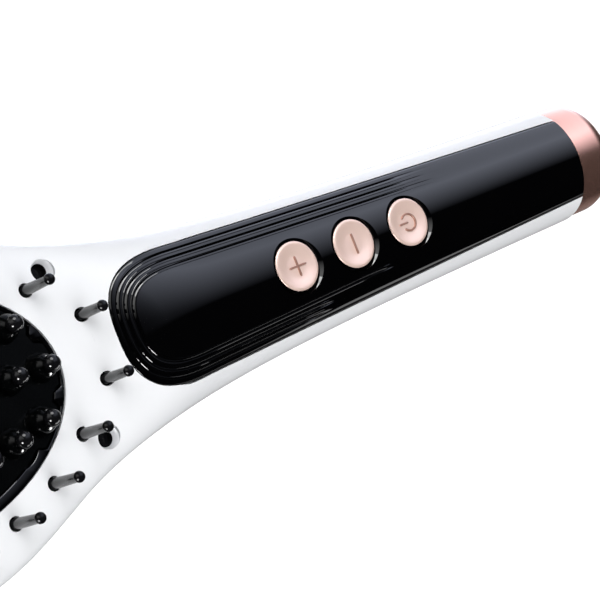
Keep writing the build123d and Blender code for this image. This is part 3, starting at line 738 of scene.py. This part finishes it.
def ballPart():
    ball, top = plate["ballRadius"], plate["top"] + plate["height"] + plate["ballHeight"]
    low = plate["top"] + plate["height"] - plate["collarHeight"]
    meet = math.acos((top - ball - low) / ball)
    profile, steps = [(0.0, low)], plate["ballSteps"]
    for i in range(steps + 1):
        turn = math.pi - meet + (meet - math.pi) * i / steps
        profile.append((ball * math.sin(turn) if i < steps else 0.0, top - ball + ball * math.cos(turn)))
    return turnedPart(profile, plate["ballSides"])


def makeTeeth():
    places = toothPlaces()
    newPiece("teeth_flared", joined([placed(toothPart(), x, y) for x, y in places]), "heater_teeth",
             creaseAngle=60.0)
    newPiece("teeth_balls", joined([placed(ballPart(), x, y) for x, y in places]), "tooth_tips",
             creaseAngle=70.0)


def bezelPart():  # an oval ring cut back round each tooth that stands near it
    turn = np.linspace(0.0, 2 * math.pi, plate["bezelSides"], endpoint=False)
    along, across = np.cos(turn), np.sin(turn)

    def ovalReach(inset):
        return 1 / np.hypot(along / (plate["halfLength"] - inset), across / (plate["halfWidth"] - inset))

    places = toothPlaces()
    middle, sides = places[:plate["middleTeeth"]], places[plate["middleTeeth"]:]
    scallops = np.zeros_like(turn)
    for x, y in [middle[0], middle[-1]] + sides[:4] + sides[-4:]:
        x -= form["headCentre"]
        towards = along * x + across * y
        inside = towards**2 - (x * x + y * y) + plate["scallopRadius"] ** 2
        scallops = np.maximum(scallops, np.where(inside > 0, towards + np.sqrt(np.maximum(inside, 0)), 0))
    inner = np.maximum(ovalReach(plate["bezelWidth"]), np.minimum(scallops, ovalReach(plate["scallopRim"])))
    outer = ovalReach(0.0)
    top, edge = plate["bezelTop"], plate["edgeRound"]
    section = [(0.0, plate["bezelFoot"])]
    section += [(edge * (1 - math.cos(math.radians(a))), top - edge * (1 - math.sin(math.radians(a))))
                for a in range(0, 91, 15)]
    rings = [np.minimum(inner + offset, outer - plate["thinnest"]) for offset, _ in section]
    heights = [height for _, height in section]
    rings += [outer - plate["outerEdge"], outer, outer]
    heights += [top, top - plate["outerEdge"], plate["bezelFoot"]]
    points = [np.column_stack([form["headCentre"] + ring * along, ring * across, np.full_like(ring, height)])
              for ring, height in zip(rings, heights)]
    sides, faces = plate["bezelSides"], []
    for k in range(len(rings)):
        low, high = k * sides, (k + 1) % len(rings) * sides
        for i in range(sides):
            j = (i + 1) % sides
            faces.append([low + i, low + j, high + j, high + i])
    return np.vstack(points), faces


pins = {
    "halfLength": 53.0, "halfWidth": 32.0, "perSide": 9, "firstAngle": 32.1,
    "footRadius": 1.37, "neckRadius": 1.08, "ballRadius": 1.3, "foot": 19.9,
    "length": 13.2, "neckLength": 11.2, "neckPins": ((-32.8, 7.65), (-32.8, -7.65)),
    "ballSteps": 14, "sides": 40, "walk": 601,
}


def pinPlaces():
    first, last = math.radians(pins["firstAngle"]), math.radians(360 - pins["firstAngle"])
    angle = np.linspace(first, last, pins["walk"])
    x, y = pins["halfLength"] * np.cos(angle), pins["halfWidth"] * np.sin(angle)
    run = np.concatenate([[0.0], np.cumsum(np.hypot(np.diff(x), np.diff(y)))])
    steps = 2 * pins["perSide"]
    places = []
    for k in range(steps + 1):
        i = int(np.argmin(np.abs(run - run[-1] * k / steps)))
        places.append((form["headCentre"] + x[i], y[i], pins["length"]))
    return places + [(x, y, pins["neckLength"]) for x, y in pins["neckPins"]]


def pinPart(top):
    ball, neck, foot = pins["ballRadius"], pins["neckRadius"], pins["foot"]
    meet = math.asin(neck / ball)
    profile = [(0.0, foot), (pins["footRadius"], foot), (neck, top - ball * (1 + math.cos(meet)))]
    steps = pins["ballSteps"]
    for i in range(1, steps + 1):
        turn = meet + (math.pi - meet) * i / steps
        profile.append((ball * math.sin(turn) if i < steps else 0.0, top - ball - ball * math.cos(turn)))
    return turnedPart(profile, pins["sides"])


def makePins():
    parts = [placed(pinPart(float(topAt(x, y)) + length), x, y) for x, y, length in pinPlaces()]
    newPiece("pins_round", joined(parts), "outer_pins", creaseAngle=60.0)


# throat, throatWall and throatFloor size the black tube that is painted shade deep in each hole
outlet = {
    "inner": 1.98, "outer": 2.78, "mouth": 2.66, "rise": 0.02, "depth": 1.8, "throat": 3.6, "round": 0.12,
    "lip": 0.03, "lipDrop": 0.02, "slope": 0.3, "slopeShare": 0.6, "across": 2.0, "overlap": 0.05,
    "throatWall": 0.12, "throatFloor": 0.3, "weld": 0.001, "sides": 64,
}


def outletCentres():  # the middle of each sleeve in the solids
    lumps = bmesh.new()
    lumps.from_mesh(frame["nodes"]["outlet_sleeves"].data)
    bmesh.ops.remove_doubles(lumps, verts=lumps.verts, dist=outlet["weld"] * mm)
    left, centres = set(lumps.verts), []
    while left:
        lump, grow = set(), [next(iter(left))]
        while grow:
            vertex = grow.pop()
            if vertex not in lump:
                lump.add(vertex)
                grow += [edge.other_vert(vertex) for edge in vertex.link_edges]
        left -= lump
        low = [min(v.co[k] for v in lump) for k in (0, 1)]
        high = [max(v.co[k] for v in lump) for k in (0, 1)]
        centres.append(((low[0] + high[0]) / 2 / mm, (low[1] + high[1]) / 2 / mm))
    lumps.free()
    return sorted(centres)


def makeOutlets():  # one liner in each hole that the solids have, and below it a black tube that is painted shade for the hole's dark depth
    inner, outer, mouth, depth = (outlet[k] for k in ("inner", "outer", "mouth", "depth"))
    thin, across = inner - outlet["throatWall"], outlet["across"]
    liners, shadeTubes = [], []
    for x, y in outletCentres():
        top = min(float(topAt(x + a, y + b)) for a in (-outer, outer) for b in (-across, across))
        top += outlet["rise"]
        profile = [(outer, top - depth), (outer, top - outlet["round"]), (mouth + outlet["lip"], top),
                   (mouth, top - outlet["lipDrop"]),
                   (inner + outlet["slope"], top - depth * outlet["slopeShare"]), (inner, top - depth)]
        liners.append(placed(turnedPart(profile, outlet["sides"], closed=True), x, y))
        # painted shade: a closed black tube below each liner stands in for the darkness deep in the hole
        start, end = top - depth + outlet["overlap"], top - outlet["throat"]
        under = end - outlet["throatFloor"]
        profile = [(0.0, under), (inner, under), (inner, start), (thin, start), (thin, end), (0.0, end)]
        shadeTubes.append(placed(turnedPart(profile, outlet["sides"]), x, y))
    newPiece("outlet_liners", joined(liners), "outlet_sleeves", creaseAngle=40.0)
    # the black tubes are painted shade, not a part of the brush
    newPiece("outlet_throats", joined(shadeTubes), "outlet_sleeves", replace=False, finish="black_plastic")


makeTeeth()
newPiece("bezel_scalloped", bezelPart(), "plate_bezel", creaseAngle=40.0)
makePins()
makeOutlets()
print("bristles made")


bristles = ("teeth_flared", "teeth_balls", "pins_round")
studio = {
    "floorSize": 12.0, "floorDrop": 0.0002, "floorColour": (0.4, 0.4, 0.4), "floorGlow": 0.74,
    "floorRough": 0.9, "floorSpread": 0.05, "floorScale": 5.0,
    "cameraPlace": (-0.2402, 0.0, 0.3953), "tilt": 35.5, "roll": 68.339, "yaw": 0.986, "lens": 113.976,
    "sensor": 36.0, "nearest": 0.01,
    "skyY": ((-0.03, 0.0), (0.06, 0.19), (0.47, 1.08), (0.6, 0.88), (0.76, 0.72), (1.0, 0.4)),
    "skyX": ((-0.1, 0.0), (0.15, 1.0), (0.8, 1.0), (0.95, 0.0)),
    "boxY": ((0.1, 0.0), (0.5, 1.1), (0.8, 1.3), (0.97, 0.0)), "boxX": ((-0.45, 1.0), (-0.28, 0.0)),
    "lowZ": ((-1.0, 0.12), (-0.45, 0.1), (-0.2, 0.0)), "skyTint": (0.9, 0.96, 1.16), "skyStrength": 1.9,
    "lamps": {
        "key": dict(place=(-0.6, 0.9, 1.5), size=1.2, power=17.0),
        "fill": dict(place=(0.0, -1.3, 1.2), size=1.6, power=14.0),
        "top": dict(place=(-0.2, 0.0, 2.0), size=1.6, power=27.0),
        "glintSide": dict(place=(-0.38, 1.16, 0.87), size=0.85, power=18.0, without=bristles),
        "glintNose": dict(place=(-1.24, -0.88, 0.22), size=0.85, power=44.0, without=bristles[:2]),
        "ballHigh": dict(place=(-0.01, 1.23, 0.85), size=0.9, power=26.0, only=("teeth_balls",)),
        "ballNear": dict(place=(-1.2, -0.61, 0.67), size=0.45, power=40.0, only=("teeth_balls",)),
        "ballLow": dict(place=(0.75, -1.28, 0.1), size=1.5, high=0.5, power=22.0, only=("teeth_balls",)),
        "bellHigh": dict(place=(1.1, 1.0, 0.2), size=0.8, power=60.0, only=("teeth_flared",)),
        "bellLow": dict(place=(0.55, -1.38, 0.1), size=0.5, power=50.0, only=("teeth_flared",)),
        "bezelSide": dict(place=(-0.28, 1.3, 0.6), size=0.9, high=1.4, power=26.0, only=("bezel_scalloped",)),
        "bezelLow": dict(place=(0.36, -1.4, 0.3), size=1.2, high=0.6, power=12.0, only=("bezel_scalloped",)),
        "wellLine": dict(place=(0.12, 1.15, 0.8), size=0.9, high=0.5, power=9.0, only=("panel_fascia",)),
        "grooveLow": dict(place=(0.85, -1.2, 0.02), size=2.0, high=0.12, power=1.2, only=("panel_fascia",)),
    },
}


def makeFloor():
    size, colour = studio["floorSize"], studio["floorColour"]
    mesh = bpy.data.meshes.new("floor")
    corners = [(-size, -size, 0), (size, -size, 0), (size, size, 0), (-size, size, 0)]
    mesh.from_pydata(corners, [], [[0, 1, 2, 3]])
    floor = bpy.data.objects.new("floor", mesh)
    floor.location.z = -studio["floorDrop"]
    bpy.context.scene.collection.objects.link(floor)
    mesh.materials.append(makeMaterial("floor_pale", colour, colour, studio["floorRough"],
                                       studio["floorSpread"], studio["floorScale"],
                                       Emission_Color=(1.0, 1.0, 1.0, 1.0),
                                       Emission_Strength=studio["floorGlow"]))
    floor.visible_glossy = False


def skyRamp(tree, split, axis, stops, tint=(1.0, 1.0, 1.0)):  # brightness along one axis, -1 to 1
    spread = tree.nodes.new("ShaderNodeMapRange")
    spread.inputs["From Min"].default_value = -1.0
    spread.inputs["From Max"].default_value = 1.0
    nodeLink(tree, split, axis, spread, "Value")
    ramp = tree.nodes.new("ShaderNodeValToRGB")
    for _ in stops[2:]:
        ramp.color_ramp.elements.new(0.5)
    for stop, (place, strength) in zip(ramp.color_ramp.elements, stops):
        stop.position = (place + 1) / 2
        stop.color = (*[strength * share for share in tint], 1.0)
    nodeLink(tree, spread, "Result", ramp, "Fac")
    return ramp


def skyMix(tree, first, second, blend):
    both = tree.nodes.new("ShaderNodeMix")
    both.data_type = "RGBA"
    both.blend_type = blend
    both.inputs["Factor"].default_value = 1.0
    for node, socket in ((first, "A"), (second, "B")):
        nodeLink(tree, node, "Result" if node.bl_idname == "ShaderNodeMix" else "Color", both, socket)
    return both


def makeSky():  # a long soft box over the handle and a small one beyond the nose
    world = bpy.data.worlds.new("studio")
    bpy.context.scene.world = world
    world.use_nodes = True
    tree = world.node_tree
    place = tree.nodes.new("ShaderNodeTexCoord")
    split = tree.nodes.new("ShaderNodeSeparateXYZ")
    nodeLink(tree, place, "Generated", split, "Vector")
    skyY = skyRamp(tree, split, "Y", studio["skyY"], studio["skyTint"])
    skyX, boxY, boxX, lowZ = (skyRamp(tree, split, name[-1], studio[name])
                              for name in ("skyX", "boxY", "boxX", "lowZ"))
    long = skyMix(tree, skyY, skyX, "MULTIPLY")
    small = skyMix(tree, boxY, boxX, "MULTIPLY")
    both = skyMix(tree, skyMix(tree, long, small, "ADD"), lowZ, "ADD")
    background = tree.nodes["Background"]
    background.inputs["Strength"].default_value = studio["skyStrength"]
    nodeLink(tree, both, "Result", background, "Color")
    world.cycles_visibility.diffuse = False


def makeLamp(name, place, size, power, high=None, only=(), without=()):
    light = bpy.data.lights.new(name, "AREA")
    light.shape = "RECTANGLE" if high else "DISK"
    light.size = size
    light.size_y = high or size
    light.energy = power
    lamp = bpy.data.objects.new(name, light)
    lamp.location = place
    lamp.rotation_mode = "QUATERNION"
    lamp.rotation_quaternion = (-Vector(place)).to_track_quat("-Z", "Y")
    lamp.visible_glossy = bool(only or without)
    lamp.visible_diffuse = not lamp.visible_glossy
    bpy.context.scene.collection.objects.link(lamp)
    if only or without:
        chosen = bpy.data.collections.new(name + "Pieces")
        for piece in only or without:
            chosen.objects.link(bpy.data.objects[piece])
        for entry in chosen.collection_objects:
            entry.light_linking.link_state = "INCLUDE" if only else "EXCLUDE"
        lamp.light_linking.receiver_collection = chosen


def makeCamera():
    camera = bpy.data.objects.new("camera", bpy.data.cameras.new("camera"))
    tilt, yaw, roll = (math.radians(studio[k]) for k in ("tilt", "yaw", "roll"))
    forward = Vector((math.sin(tilt), 0, -math.cos(tilt)))
    right = Vector((0, -1, 0))
    up = right.cross(forward)
    turned = forward * math.cos(yaw) + right * math.sin(yaw)
    side = right * math.cos(yaw) - forward * math.sin(yaw)
    across = side * math.cos(roll) + up * math.sin(roll)
    upward = -side * math.sin(roll) + up * math.cos(roll)
    camera.matrix_world = Matrix((across, upward, -turned)).transposed().to_4x4()
    camera.location = studio["cameraPlace"]
    camera.data.lens = studio["lens"]
    camera.data.sensor_width = studio["sensor"]
    camera.data.clip_start = studio["nearest"]
    bpy.context.scene.collection.objects.link(camera)
    bpy.context.scene.camera = camera


makeFloor()
makeSky()
for lampName, lamp in studio["lamps"].items():
    makeLamp(lampName, **lamp)
makeCamera()
bpy.context.scene.view_settings.view_transform = "Standard"
print("studio made")
